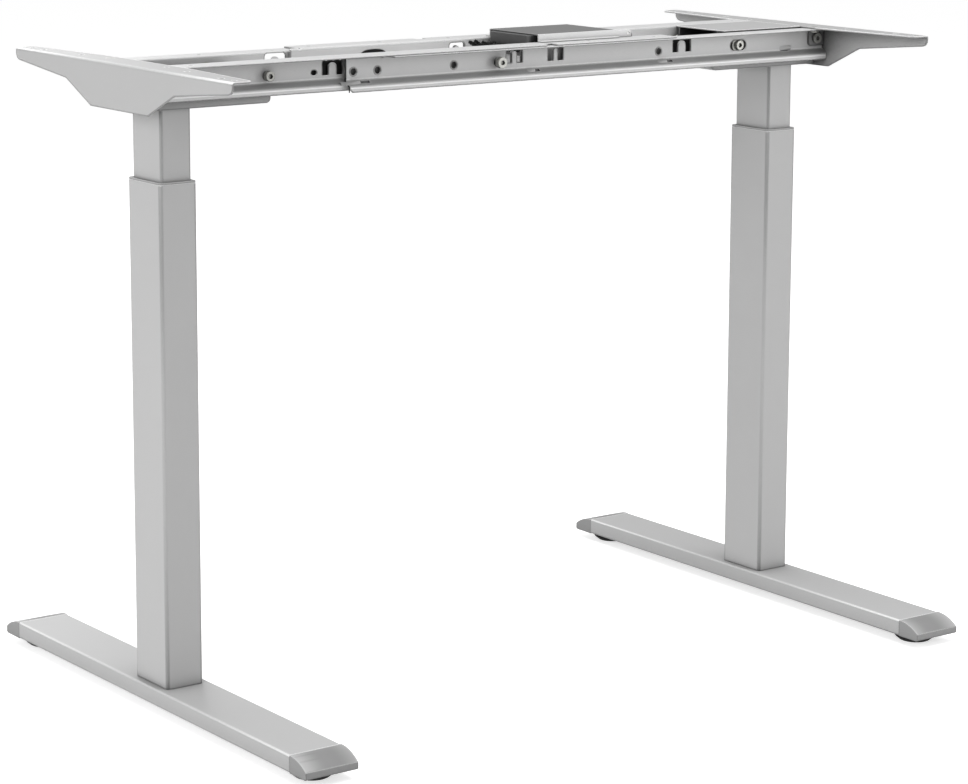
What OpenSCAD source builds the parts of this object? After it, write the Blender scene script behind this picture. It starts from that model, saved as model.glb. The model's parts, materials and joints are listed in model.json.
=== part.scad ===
// Height and width adjustable standing desk frame: two lifting columns on
// tube feet, joined at the head by nested sheet rails and two end brackets.
// Front is -Y, the left column is at -X, the floor is z = 0.

/* [Overall] */
// Width over the two end brackets
frame_w = 1048; // [1020:2:1080]
// Outer face of an end bracket to the column's axis
col_in = 56.5; // [54:0.5:62]
// Length of a foot over its end caps
foot_len = 718; // [680:2:760]
// How far the tray stands above the outer tube, the lift at rest
lift_rest = 87; // [82:1:140]

/* [Foot] */
// Width of the foot tube
foot_w = 70; // [66:1:80]
// Height of the foot tube
foot_h = 21; // [19:1:26]
// Wall of the foot tube
foot_t = 2; // [1.5:0.1:2.5]
// Length of an end cap outside the tube
cap_len = 34; // [30:1:42]
// Height of the lip at the tip of an end cap
cap_lip_h = 8; // [6:0.5:10]
// Diameter of a levelling glide
glide_d = 52; // [46:1:56]
// Height of a glide under the foot at rest
glide_stand = 11; // [10:0.5:14]
// How far a glide's centre lies from the foot's tip
glide_in = 41; // [37:1:59]

/* [Columns] */
// Outer tube across, along X
outer_w = 50; // [48:0.5:56]
// Outer tube deep, along Y
outer_d = 75; // [72:0.5:80]
// Wall of the outer tube
outer_t = 2; // [1.5:0.1:2.4]
// Height of the outer tube
outer_h = 609; // [560:1:640]
// Gap between the inner tube and the outer tube's inside
slide_room = 2.5; // [2:0.1:3.5]
// Wall of the inner tube
inner_t = 2; // [1.5:0.1:2.5]
// Length of the inner tube
inner_len = 590; // [540:1:600]

/* [Drive] */
// Diameter of the lifting spindle
spindle_d = 16; // [12:0.5:18]
// Length of the spindle below the tray
spindle_len = 540; // [500:1:545]
// Outer diameter of the push tube
push_d = 28; // [26:0.5:30]
// Length of the push tube
push_len = 554; // [500:1:556]
// Diameter of a motor
motor_d = 42; // [36:1:43]
// Length of a motor
motor_len = 86; // [70:1:88]

/* [Rails] */
// Sheet of the rails
sheet = 2; // [1.5:0.1:2.5]
// Gap between nested rails
nest_gap = 0.3; // [0.25:0.01:0.4]
// Middle plane to the inner face of an inner rail's web
web_o = 46; // [45:0.5:50]
// Width of an inner rail's top flange
flange_w = 37; // [32:0.5:38]
// Height of an inner rail
rail_h = 43; // [40:0.5:46]
// Free end of an inner rail to the far end bracket
inner_rail_gap = 262.7; // [240:0.1:340]
// Free end of an outer rail to the far end bracket
outer_rail_gap = 276.7; // [255:0.1:340]

/* [Head] */
// Width of a motor tray
tray_w = 80; // [78:0.5:82]
// Height of a motor tray
tray_h = 39; // [36:0.5:42]
// Length of a motor tray from the bracket plate
tray_len = 180; // [176:1:190]
// Reach of an end bracket to the front and to the rear
bracket_reach = 254; // [220:1:280]
// Width of a bracket's top flange
bracket_fl_w = 40; // [36:0.5:42]
// Distance between the two desk top holes of a bracket
top_holes = 472; // [400:1:480]
// Length of the control box lid
box_len = 124; // [100:1:140]
// Width of the control box lid
box_w = 104; // [100:0.5:108]

/* [Hidden] */
$fn = 48;
over = 1;
eps = 0.05;

// Levels
foot_z = glide_stand;
foot_top = foot_z + foot_h;
outer_top = foot_top + outer_h;
tray_z = outer_top + lift_rest;
rail_drop = 10;
top_z = tray_z + rail_h + rail_drop;

// Column
half_w = frame_w / 2;
col_x = half_w - col_in;
outer_r = 4;
inner_w = outer_w - 2 * outer_t - 2 * slide_room;
inner_d = outer_d - 2 * outer_t - 2 * slide_room;
inner_r = 3;
collar_rim = 2;
collar_h = 40;
shoe_h = 60;
base_t = 6;
tap_d = 6;
tap_x = 15;
tap_y = 27;
screw_head_d = 12;
screw_head_h = 4;
foot_r = 2.5;
glide_at = foot_len / 2 - glide_in;
tube_half = foot_len / 2 - cap_len;
plug_len = 22;
plug_gap = 0.2;
stem_d = 10;
stem_len = 14;
glide_cup_h = 8;
glide_foot_share = 0.78;
push_t = 2.5;
nut_d = 34;
nut_h = 25;

// Head
bend_r = 1;
tray_floor = 3;
tray_wall = 2;
tray_r = 6;
bracket_t = sheet + nest_gap;
bracket_bend = bend_r + bracket_t;
plate_x = half_w - bracket_t;
gear_w = 56;
gear_d = 66;
gear_h = 38;
journal_h = 30;
motor_z = tray_z + tray_floor + motor_d / 2;
tip_depth = 15;
tip_r = 9;
tip_fl_w = 27;
taper_y = 88;
knee1_y = 127;
knee1_depth = 27;
knee2_y = 67;
knee2_depth = 55;
corner_r = 8;
hole_d = 5.5;
slot_y = 208;
slot_d = 5;
slot_len = 9;
mid_hole_y = 123;
near_hole_y = 66;
near_hole_x = 27;
countersink_d = 11;
lug_w = 27;
lug_h = 20;
lug_drop = 17;
lug_z = top_z - lug_drop;
lug_r = 5;
lug_screw_x = 15.7;

// Rails
mid_r = bend_r + sheet / 2;
out_r = bend_r + sheet;
ledge_out = 8.8;
ledge_beta = 54.4;
ledge_z = 28;
bend_steps = 4;
nest_down = sheet + nest_gap;
nest_out = nest_down * (1 + sin(ledge_beta)) / cos(ledge_beta);
outer_fl_w = flange_w - nest_out;
outer_web_o = web_o + nest_out;
outer_z = top_z - nest_down;
ledge_drop = (2 * mid_r + (ledge_out - 2 * mid_r) * cos(ledge_beta)) / sin(ledge_beta);
inner_in = plate_x - inner_rail_gap;
outer_in = plate_x - outer_rail_gap;
win_h = 19;
win_r = 4;
win_gap = 4;
win_leg = 8.5;
win_z = outer_z - win_h - bend_r * 5 / 2;
fl_hole_o = 66;
fl_hole_d = 6;
fix_drop = 20;
fix_z = top_z - fix_drop;
fix_d = 6;
fix_washer_d = 20;
fix_washer_t = 1.5;
fix_inner_at = 170;
fix_inner_x = plate_x - fix_inner_at;
fix_outer_at = 147;
fix_outer_x = plate_x - fix_outer_at;
hex_d = 6;
hex_deep = 2.5;
lock_at = 542;
lock_x = lock_at - plate_x;
lock_drop = 21;
lock_z = top_z - lock_drop;
lock_d = 6;
lock_head_d = 14;
lock_head_h = 7;
lock_stand = 5;

// Box
box_at = 476;
box_in = plate_x - box_at;
box_wall = 1.5;
box_h = 10;
ear_w = 9;
body_w = 84;
body_h = 27;
body_len = 132;

module rrect(w, d, r) {
    square([w - 2 * r, d], center = true);
    square([w, d - 2 * r], center = true);
    for (x = [-1, 1], y = [-1, 1])
        translate([x * (w / 2 - r), y * (d / 2 - r)])
            circle(r = r);
}

module tube(w, d, r, t, h) {
    linear_extrude(height = h)
        difference() {
            rrect(w, d, r);
            rrect(w - 2 * t, d - 2 * t, r - t);
        }
}

module at_col() {
    translate([-col_x, 0, 0])
        children();
}

module right() {
    rotate([0, 0, 180])
        children();
}

module rear() {
    mirror([0, 1, 0])
        children();
}

// A section drawn in distance out from the middle plane and height,
// run along X on the front side from x0 to x1
module front_run(x0, x1) {
    translate([x1, 0, 0])
        rotate([90, 0, -90])
            linear_extrude(height = x1 - x0)
                children();
}

module foot_section(cut) {
    translate([0, foot_z + foot_h / 2])
        rrect(foot_w - 2 * cut, foot_h - 2 * cut, max(foot_r - cut, foot_r / 4));
}

module along_foot(len) {
    rotate([90, 0, 0])
        linear_extrude(height = len, center = true)
            children();
}

module foot_tube() {
    color("silver")
        at_col()
            difference() {
                along_foot(2 * tube_half)
                    difference() {
                        foot_section(0);
                        foot_section(foot_t);
                    }
                for (x = [-tap_x, tap_x], y = [-tap_y, tap_y]) {
                    translate([x, y, foot_top - foot_t - over])
                        cylinder(d = tap_d, h = foot_t + 2 * over);
                    translate([x, y, foot_z - over])
                        cylinder(d = screw_head_d + 2 * over, h = foot_t + 2 * over);
                }
                for (y = [-glide_at, glide_at])
                    translate([0, y, foot_z - over])
                        cylinder(d = stem_d + 2 * over, h = foot_t + 2 * over);
            }
}

// Cap: a body whose top runs down in one curve to a short lip,
// with a plug that fills the end of the tube and carries a glide
cap_set = 1;
cap_drop = foot_h - cap_lip_h - cap_set;
cap_rad = (cap_len * cap_len + cap_drop * cap_drop) / (2 * cap_drop);
module cap_side() {
    intersection() {
        union() {
            translate([0, foot_z + cap_set])
                square([cap_len, foot_h - cap_set]);
            translate([0, foot_z])
                square([cap_len - 2 * cap_set, foot_h]);
        }
        translate([0, foot_top - cap_rad])
            circle(r = cap_rad, $fn = 240);
    }
}

module cap() {
    color("gray")
        at_col()
            difference() {
                union() {
                    translate([foot_w / 2, -tube_half, 0])
                        rotate([90, 0, -90])
                            linear_extrude(height = foot_w)
                                cap_side();
                    translate([0, -tube_half + plug_len / 2, 0])
                        along_foot(plug_len)
                            foot_section(foot_t + plug_gap);
                }
                translate([0, -glide_at, foot_z - over])
                    cylinder(d = stem_d + 2 * eps, h = stem_len + over + nest_gap);
            }
}

module glide() {
    color("black")
        at_col()
            translate([0, -glide_at, 0]) {
                rotate_extrude($fn = 64)
                    polygon([[0, 0], [glide_d * glide_foot_share / 2, 0],
                        [glide_d / 2, glide_cup_h - glide_stand / 4], [glide_d / 2, glide_cup_h],
                        [0, glide_cup_h]]);
                cylinder(d = stem_d, h = foot_z + stem_len);
            }
}

module foot_screws() {
    color("silver")
        at_col()
            for (x = [-tap_x, tap_x], y = [-tap_y, tap_y])
                translate([x, y, foot_top - foot_t]) {
                    cylinder(d = tap_d, h = foot_t + base_t);
                    translate([0, 0, -screw_head_h])
                        cylinder(d = screw_head_d, h = screw_head_h);
                }
}

module base_plate() {
    color("silver")
        at_col()
            difference() {
                translate([0, 0, foot_top])
                    linear_extrude(height = base_t)
                        rrect(outer_w - 2 * outer_t, outer_d - 2 * outer_t, outer_r - outer_t);
                for (x = [-tap_x, tap_x], y = [-tap_y, tap_y])
                    translate([x, y, foot_top - over])
                        cylinder(d = tap_d, h = base_t + 2 * over);
            }
}

module outer_tube() {
    color("silver")
        at_col()
            translate([0, 0, foot_top])
                tube(outer_w, outer_d, outer_r, outer_t, outer_h);
}

module guide_collar() {
    color("dimgray")
        at_col()
            difference() {
                union() {
                    translate([0, 0, outer_top - collar_h])
                        linear_extrude(height = collar_h)
                            rrect(outer_w - 2 * outer_t, outer_d - 2 * outer_t, outer_r - outer_t);
                    translate([0, 0, outer_top])
                        linear_extrude(height = collar_rim)
                            rrect(outer_w, outer_d, outer_r);
                }
                translate([0, 0, outer_top - collar_h - over])
                    linear_extrude(height = collar_h + collar_rim + 2 * over)
                        rrect(inner_w + 2 * eps, inner_d + 2 * eps, inner_r + eps);
            }
}

module push_tube() {
    color("silver")
        at_col()
            translate([0, 0, foot_top + base_t])
                difference() {
                    cylinder(d = push_d, h = push_len);
                    translate([0, 0, -over])
                        cylinder(d = push_d - 2 * push_t, h = push_len + 2 * over);
                }
}

module spindle_nut() {
    color("ivory")
        at_col()
            translate([0, 0, foot_top + base_t + push_len])
                difference() {
                    cylinder(d = nut_d, h = nut_h);
                    translate([0, 0, -over])
                        cylinder(d = spindle_d + 2 * eps, h = nut_h + 2 * over);
                }
}

module spindle() {
    color("silver")
        at_col()
            translate([0, 0, tray_z - spindle_len])
                cylinder(d = spindle_d, h = spindle_len + tray_floor + journal_h);
}

module inner_tube() {
    color("gainsboro")
        at_col()
            translate([0, 0, tray_z - inner_len])
                tube(inner_w, inner_d, inner_r, inner_t, inner_len);
}

module guide_shoes() {
    color("ivory")
        at_col()
            translate([0, 0, tray_z - inner_len])
                linear_extrude(height = shoe_h)
                    difference() {
                        rrect(outer_w - 2 * outer_t - 2 * eps, outer_d - 2 * outer_t - 2 * eps,
                            outer_r - outer_t);
                        rrect(inner_w, inner_d, inner_r);
                    }
}

// Tray drawn from the side: full length with one rounded lower corner
module tray_side(cut_floor, cut) {
    len = tray_len - cut;
    h = tray_h - cut_floor;
    r = tray_r - cut;
    translate([-plate_x, tray_z + cut_floor]) {
        translate([0, r])
            square([len, h - r]);
        square([len - r, h]);
        translate([len - r, r])
            circle(r = r);
    }
}

module head_tray() {
    color("gainsboro")
        difference() {
            rotate([90, 0, 0])
                linear_extrude(height = tray_w, center = true)
                    tray_side(0, 0);
            rotate([90, 0, 0])
                linear_extrude(height = tray_w - 2 * tray_wall, center = true) {
                    tray_side(tray_floor, tray_wall);
                    translate([-plate_x, tray_z + tray_h - over])
                        square([tray_len - tray_wall, 2 * over]);
                }
            at_col()
                translate([0, 0, tray_z - over])
                    cylinder(d = spindle_d + 2 * over, h = tray_floor + 2 * over);
            translate([-fix_inner_x, -tray_w / 2, fix_z])
                rotate([90, 0, 0])
                    cylinder(d = fix_d, h = 2 * tray_wall + over, center = true);
            translate([-fix_outer_x, tray_w / 2, fix_z])
                rotate([90, 0, 0])
                    cylinder(d = fix_d, h = 2 * tray_wall + over, center = true);
        }
}

module gearbox() {
    color("dimgray")
        difference() {
            translate([-col_x, 0, tray_z + tray_floor])
                linear_extrude(height = gear_h)
                    rrect(gear_w, gear_d, tray_r);
            translate([-col_x, 0, tray_z])
                cylinder(d = spindle_d + 2 * eps, h = tray_floor + journal_h + 2 * eps);
        }
}

module motor() {
    color("dimgray")
        translate([-col_x + gear_w / 2, 0, motor_z])
            rotate([0, 90, 0]) {
                cylinder(d = motor_d, h = motor_len);
            }
}

module oblong(d, len) {
    square([len - d, d], center = true);
    for (x = [-1, 1])
        translate([x * (len - d) / 2, 0])
            circle(d = d);
}

// End bracket: a vertical plate with stepped arms, a top flange turned
// inward, and a lug in front of each rail's web
function arc(cx, cy, r, a0, a1) =
    [for (i = [0 : bend_steps]) let (a = a0 + (a1 - a0) * i / bend_steps) [cx + r * cos(a), cy + r * sin(a)]];

module plate_outline() {
    for (s = [-1, 1])
        scale([s, 1])
            polygon(concat(
                [[0, top_z - knee2_depth], [knee2_y, top_z - knee2_depth], [knee1_y, top_z - knee1_depth]],
                arc(bracket_reach - tip_r, top_z - tip_depth + tip_r, tip_r, -90, 0),
                [[bracket_reach, top_z], [0, top_z]]));
}

// Full width over the rails, narrower at the tips
flange_edge = concat([[-half_w, -bracket_reach]],
    arc(-half_w + tip_fl_w - corner_r, -bracket_reach + corner_r, corner_r, -90, 0),
    [[-half_w + bracket_fl_w, -taper_y]]);
module flange_outline() {
    difference() {
        polygon(concat(flange_edge,
            [for (i = [len(flange_edge) - 1 : -1 : 0]) [flange_edge[i][0], -flange_edge[i][1]]]));
        for (s = [-1, 1]) {
            translate([-half_w + tip_fl_w / 2, s * top_holes / 2])
                circle(d = hole_d);
            translate([-half_w + tip_fl_w / 2, s * slot_y])
                rotate(90)
                    oblong(slot_d, slot_len);
            translate([-half_w + bracket_fl_w / 2, s * mid_hole_y])
                circle(d = hole_d);
            translate([-half_w + near_hole_x, s * near_hole_y])
                circle(d = hole_d);
        }
    }
}

// What is trimmed off a square corner to round the bracket's bend
module bend_trim() {
    difference() {
        translate([-half_w - over, -bracket_reach - over, top_z - bracket_bend])
            cube([bracket_bend + over, 2 * bracket_reach + 2 * over, bracket_bend + over]);
        translate([-half_w + bracket_bend, 0, top_z - bracket_bend])
            rotate([90, 0, 0])
                cylinder(r = bracket_bend, h = 3 * bracket_reach, center = true);
    }
}

// Countersunk screw's cone, wide end up; a longer one cuts its seat
module countersink(past) {
    slope = (countersink_d - hole_d) / bracket_t;
    translate([-half_w + near_hole_x, -near_hole_y, top_z - bracket_t])
        cylinder(d1 = hole_d, d2 = countersink_d + slope * past, h = bracket_t + past);
}

module lug(o) {
    difference() {
        translate([0, -o, 0])
            rotate([90, 0, 0])
                linear_extrude(height = bracket_t) {
                    translate([-half_w, lug_z - lug_h / 2])
                        square([bracket_t + lug_w - lug_r, lug_h]);
                    translate([-plate_x + lug_w - lug_r, lug_z])
                        square([2 * lug_r, lug_h - 2 * lug_r], center = true);
                    for (s = [-1, 1])
                        translate([-plate_x + lug_w - lug_r, lug_z + s * (lug_h / 2 - lug_r)])
                            circle(r = lug_r);
                }
        translate([-half_w + lug_screw_x, -o, lug_z])
            rotate([90, 0, 0])
                cylinder(d = fix_d, h = 4 * bracket_t, center = true);
    }
}

module end_bracket() {
    color("gainsboro") {
        difference() {
            union() {
                translate([-half_w, 0, 0])
                    rotate([90, 0, 90])
                        linear_extrude(height = bracket_t)
                            plate_outline();
                translate([0, 0, top_z - bracket_t])
                    linear_extrude(height = bracket_t)
                        flange_outline();
            }
            bend_trim();
            rear()
                countersink(over);
        }
        lug(web_o + sheet);
        rear()
            lug(outer_web_o + sheet);
    }
}

// Bent section of a rail: flange, web, sloping ledge and lip
module rail_section(o, z, fw, h) {
    z1 = z - ledge_z;
    z2 = z1 - ledge_drop;
    lip = o + sheet / 2 + ledge_out;
    polygon(concat(
        [[o + fw, z]],
        arc(o + out_r, z - out_r, out_r, 90, 180),
        arc(o + out_r, z1, out_r, 180, 180 + ledge_beta),
        arc(lip - mid_r, z2, bend_r, ledge_beta, 0),
        [[lip - sheet / 2, z - h], [lip + sheet / 2, z - h]],
        arc(lip - mid_r, z2, out_r, 0, ledge_beta),
        arc(o + out_r, z1, bend_r, 180 + ledge_beta, 180),
        arc(o + out_r, z - out_r, bend_r, 180, 90),
        [[o + fw, z - sheet]]));
}

module web_cut(x, z, o) {
    translate([x, -o, z])
        rotate([90, 0, 0])
            linear_extrude(height = 3 * sheet, center = true)
                children();
}

// Window round a tongue that stays attached at its foot
module window(w) {
    difference() {
        union() {
            square([w, win_h - win_r]);
            translate([win_r, 0])
                square([w - 2 * win_r, win_h]);
            for (x = [win_r, w - win_r])
                translate([x, win_h - win_r])
                    circle(r = win_r);
        }
        translate([win_leg, -over])
            square([w - 2 * win_leg, win_h - win_gap - (w - 2 * win_leg) / 2 + over]);
        translate([w / 2, win_h - win_gap - (w - 2 * win_leg) / 2])
            circle(d = w - 2 * win_leg);
    }
}

fl_start = 14;
end_cut = 6;
relief_d = 4;
notch_at = 559;
notch_w = 15;
notch_d = 12;
inner_win_at = [248, 519];
inner_win_w = [29, 24];
inner_fl_at = [56, 531, 636, 742];
slot2_at = 236;
slot2_d = 6;
slot2_len = 8;
inner_hole_at = 626;
rear_cable_at = 659;
rear_cable_d = 19;
rear_cable_len = 38;
rear_cable_drop = 18;
rear_cable_z = top_z - rear_cable_drop;

// Inner rail of the front, fixed to the left tray. Its holes and windows are
// placed from the left bracket, as the outer rail's are from the right one.
module inner_rail() {
    difference() {
        front_run(-plate_x, inner_in)
            rail_section(web_o, top_z, flange_w, rail_h);
        // the bracket's flange lies over the web here
        translate([-plate_x - over, -web_o - 2 * flange_w, top_z - bracket_t])
            cube([plate_x - half_w + bracket_fl_w + over, 3 * flange_w, 2 * bracket_t]);
        translate([inner_in - fl_start, -web_o - sheet - bend_r, top_z - out_r])
            mirror([0, 1, 0])
                cube([fl_start + over, 2 * flange_w, 2 * out_r]);
        translate([inner_in - fl_start, -web_o - sheet - bend_r, top_z])
            cylinder(d = relief_d, h = 4 * sheet, center = true);
        translate([inner_in, -web_o - ledge_out, top_z - rail_h])
            rotate([0, 45, 0])
                cube([end_cut, 4 * sheet, end_cut], center = true);
        translate([notch_at - plate_x, -web_o - flange_w - over, top_z - 2 * sheet])
            cube([notch_w, notch_d + over, 3 * sheet]);
        for (i = [0 : len(inner_win_at) - 1])
            web_cut(inner_win_at[i] - plate_x, win_z, web_o)
                window(inner_win_w[i]);
        web_cut(slot2_at - plate_x, fix_z, web_o)
            oblong(slot2_d, slot2_len);
        web_cut(-fix_inner_x, fix_z, web_o)
            circle(d = fix_d);
        web_cut(-half_w + lug_screw_x, lug_z, web_o)
            circle(d = fix_d);
        for (at = inner_fl_at)
            translate([at - plate_x, -fl_hole_o, top_z])
                cylinder(d = fl_hole_d, h = 4 * sheet, center = true);
    }
}

outer_fl_start = 52;
outer_win_at = [528, 463, 260];
outer_win_w = [25, 24, 30];
outer_hole_at = [756, 721, 608, 284];
outer_hole_d = 9;
ledge_slot_at = [763, 495, 284];
ledge_slot_len = [28, 16, 20];
ledge_slot_w = 4;
fix_slot_off = 2;
fix_slot_len = 27;
fix_slot_d = 14;
low_slot_at = 68;
low_slot_len = 15;
low_slot_d = 4;
outer_fl_hole_at = [249, 145];

// Outer rail of the front, fixed to the right tray
module outer_rail() {
    difference() {
        front_run(-outer_in, plate_x)
            rail_section(outer_web_o, outer_z, outer_fl_w, rail_h);
        translate([-outer_in - over, -outer_web_o - sheet - bend_r, outer_z - out_r])
            mirror([0, 1, 0])
                cube([outer_fl_start + over, 2 * flange_w, 2 * out_r]);
        translate([-outer_in + outer_fl_start, -outer_web_o - sheet - bend_r, outer_z])
            cylinder(d = relief_d, h = 4 * sheet, center = true);
        translate([-outer_in, -outer_web_o - ledge_out, outer_z - rail_h])
            rotate([0, 45, 0])
                cube([end_cut, 4 * sheet, end_cut], center = true);
        for (i = [0 : len(outer_win_at) - 1])
            web_cut(plate_x - outer_win_at[i], win_z, outer_web_o)
                window(outer_win_w[i]);
        for (at = outer_hole_at)
            web_cut(plate_x - at, lock_z, outer_web_o)
                circle(d = outer_hole_d);
        web_cut(-lock_x, lock_z, outer_web_o)
            circle(d = lock_d);
        web_cut(fix_outer_x - fix_slot_off, fix_z, outer_web_o)
            oblong(fix_slot_d, fix_slot_len);
        web_cut(plate_x - low_slot_at, outer_z - ledge_z, outer_web_o)
            oblong(low_slot_d, low_slot_len);
        web_cut(half_w - lug_screw_x, lug_z, outer_web_o)
            circle(d = fix_d);
        for (i = [0 : len(ledge_slot_at) - 1])
            translate([plate_x - ledge_slot_at[i] + ledge_slot_len[i] / 2, -outer_web_o - (sheet + ledge_out) / 2,
                outer_z - ledge_z - ledge_drop / 2])
                rotate([90 - ledge_beta, 0, 0])
                    cube([ledge_slot_len[i], ledge_slot_w, 3 * sheet], center = true);
        for (at = outer_fl_hole_at)
            translate([plate_x - at, -fl_hole_o, outer_z])
                cylinder(d = fl_hole_d, h = 4 * sheet, center = true);
        // screw through the bracket's flange
        translate([half_w - near_hole_x, -near_hole_y, outer_z])
            cylinder(d = hole_d, h = 4 * sheet, center = true);
    }
}

module front_rail_inner() {
    color("gainsboro")
        inner_rail();
}

module rear_rail_inner() {
    color("gainsboro")
        difference() {
            right()
                inner_rail();
            rear()
                web_cut(plate_x - rear_cable_at, rear_cable_z, web_o)
                    oblong(rear_cable_d, rear_cable_len);
            rear()
                web_cut(plate_x - inner_hole_at, lock_z, web_o)
                    circle(d = fix_d);
        }
}

module front_rail_outer() {
    color("gainsboro")
        outer_rail();
}

module rear_rail_outer() {
    color("gainsboro")
        right()
            outer_rail();
}

module y_rod(x, o0, o1, d) {
    translate([x, -o0, 0])
        rotate([90, 0, 0])
            cylinder(d = d, h = o1 - o0);
}

// Screw head with a hexagon socket in its outer end
module y_head(o0, o1, d) {
    difference() {
        y_rod(0, o0, o1, d);
        translate([0, -o1, 0])
            rotate([90, 0, 0])
                cylinder(d = hex_d, h = 2 * hex_deep, center = true, $fn = 6);
    }
}

// Screw with a sleeve from the tray's wall, along -Y on the front side
module fixing(o, sleeve_d, head_o) {
    y_rod(0, tray_w / 2 - tray_wall - screw_head_h, head_o + screw_head_h - hex_deep, fix_d);
    y_rod(0, tray_w / 2 - tray_wall - screw_head_h, tray_w / 2 - tray_wall, screw_head_d);
    y_rod(0, tray_w / 2, o, sleeve_d);
    y_head(head_o, head_o + screw_head_h, screw_head_d);
}

module lug_screw(o) {
    translate([-half_w + lug_screw_x, 0, lug_z]) {
        y_rod(0, o - screw_head_h, o + sheet + bracket_t + screw_head_h - hex_deep, fix_d);
        y_rod(0, o - screw_head_h, o, screw_head_d);
        y_head(o + sheet + bracket_t, o + sheet + bracket_t + screw_head_h, lock_head_d);
    }
}

module rail_fixings() {
    color("silver") {
        translate([-fix_inner_x, 0, fix_z]) {
            fixing(web_o, screw_head_d + lock_stand, web_o + sheet + lock_stand);
            y_rod(0, web_o + sheet, web_o + sheet + lock_stand, screw_head_d);
        }
        // this head stands in the rail's slot on a washer behind the web
        rear()
            translate([-fix_outer_x, 0, fix_z]) {
                fixing(outer_web_o - fix_washer_t, screw_head_d, outer_web_o);
                y_rod(0, outer_web_o - fix_washer_t, outer_web_o, fix_washer_d);
            }
    }
}

module bracket_screws() {
    color("silver") {
        lug_screw(web_o);
        rear() {
            lug_screw(outer_web_o);
            countersink(0);
            translate([-half_w + near_hole_x, -near_hole_y, outer_z - sheet - screw_head_h]) {
                cylinder(d = hole_d, h = screw_head_h + sheet + bracket_t);
                cylinder(d = screw_head_d, h = screw_head_h);
            }
        }
    }
}

// Clamp screw in the outer rail, its tip just off the inner rail's web
module width_lock() {
    head_o = outer_web_o + sheet + lock_stand;
    color("silver")
        translate([-lock_x, 0, lock_z]) {
            y_rod(0, web_o + sheet + nest_gap, head_o + lock_head_h - hex_deep, lock_d);
            y_rod(0, outer_web_o + sheet, head_o, screw_head_d - 2 * over);
            y_head(head_o, head_o + lock_head_h, lock_head_d);
        }
}

// Cover over the right motor: a plate level with the rails' flanges on two
// legs that stand on the tray's walls, open towards the middle
cover_len = 134;
cover_in = half_w - bracket_fl_w - cover_len;
module right_motor_cover() {
    color("darkgray") {
        translate([cover_in, -outer_web_o, top_z - sheet])
            cube([cover_len, outer_web_o + web_o, sheet]);
        for (y = [-tray_w / 2, tray_w / 2 - tray_wall])
            translate([cover_in, y, tray_z + tray_h])
                cube([cover_len, tray_wall, top_z - sheet - tray_z - tray_h]);
    }
}

module control_box_body() {
    color("dimgray")
        translate([box_in - (body_len - box_len), 0, top_z + box_h - sheet - body_h])
            translate([body_len / 2, 0, 0])
                linear_extrude(height = body_h)
                    rrect(body_len, body_w, corner_r / 2);
}

module control_box_lid() {
    color("dimgray")
        translate([box_in, -box_w / 2 + box_wall, top_z + box_h - sheet])
            cube([box_len, box_w - 2 * box_wall, sheet]);
}

// Light side walls with ears that stand on the rails' flanges
tab_len = 25;
tab_h = 9;
tab_r = 3;
tab_hole_d = 3;
module control_box_tray() {
    color("white") {
        for (s = [-1, 1])
            translate([box_in, s * (box_w / 2 - box_wall / 2), top_z + nest_gap])
                translate([0, -box_wall / 2, 0])
                    cube([box_len, box_wall, box_h - nest_gap]);
        translate([box_in, -box_w / 2 - ear_w + box_wall, top_z + nest_gap])
            cube([box_len, ear_w, box_wall]);
        translate([box_in, box_w / 2 - box_wall, top_z])
            cube([box_len, ear_w, box_wall + nest_gap]);
        // upright tab that carries the near wall on
        translate([box_in + box_len, -box_w / 2 + box_wall, top_z + nest_gap])
            rotate([90, 0, 0])
                linear_extrude(height = box_wall)
                    difference() {
                        union() {
                            square([tab_len - tab_r, tab_h]);
                            square([tab_len, tab_h - tab_r]);
                            translate([tab_len - tab_r, tab_h - tab_r])
                                circle(r = tab_r);
                        }
                        translate([tab_len - tab_h / 2, tab_h / 2])
                            circle(d = tab_hole_d);
                    }
    }
}

plug_x = 22;
plug_w = 14;
plug_h = 9;
plug_step = 20;
module control_box_plugs() {
    color("black")
        for (i = [-1 : 2])
            translate([box_in - (body_len - box_len) - plug_x, (i - 1 / 2) * plug_step - plug_w / 2,
                top_z - body_h / 2])
                cube([plug_x, plug_w, plug_h]);
}

foot_tube();  // left_foot_tube
cap();  // left_cap_front
rear() cap();  // left_cap_rear
foot_screws();  // left_foot_screws
base_plate();  // left_base_plate
outer_tube();  // left_outer_tube
guide_collar();  // left_guide_collar
push_tube();  // left_push_tube
spindle_nut();  // left_spindle_nut
glide();  // left_glide_front
rear() glide();  // left_glide_rear
inner_tube();  // left_inner_tube
guide_shoes();  // left_guide_shoes
head_tray();  // left_head_tray
gearbox();  // left_gearbox
motor();  // left_motor
end_bracket();  // left_end_bracket
spindle();  // left_spindle
rail_fixings();  // left_rail_fixings
bracket_screws();  // left_bracket_screws
right() foot_tube();  // right_foot_tube
right() rear() cap();  // right_cap_front
right() cap();  // right_cap_rear
right() foot_screws();  // right_foot_screws
right() base_plate();  // right_base_plate
right() outer_tube();  // right_outer_tube
right() guide_collar();  // right_guide_collar
right() push_tube();  // right_push_tube
right() spindle_nut();  // right_spindle_nut
right() rear() glide();  // right_glide_front
right() glide();  // right_glide_rear
right() inner_tube();  // right_inner_tube
right() guide_shoes();  // right_guide_shoes
right() head_tray();  // right_head_tray
right() gearbox();  // right_gearbox
right() motor();  // right_motor
right() end_bracket();  // right_end_bracket
right() spindle();  // right_spindle
right() rail_fixings();  // right_rail_fixings
right() bracket_screws();  // right_bracket_screws
front_rail_inner();
rear_rail_outer();
front_rail_outer();
rear_rail_inner();
width_lock();  // front_width_lock
right() width_lock();  // rear_width_lock
right_motor_cover();
control_box_body();
control_box_lid();
control_box_tray();
control_box_plugs();
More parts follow.
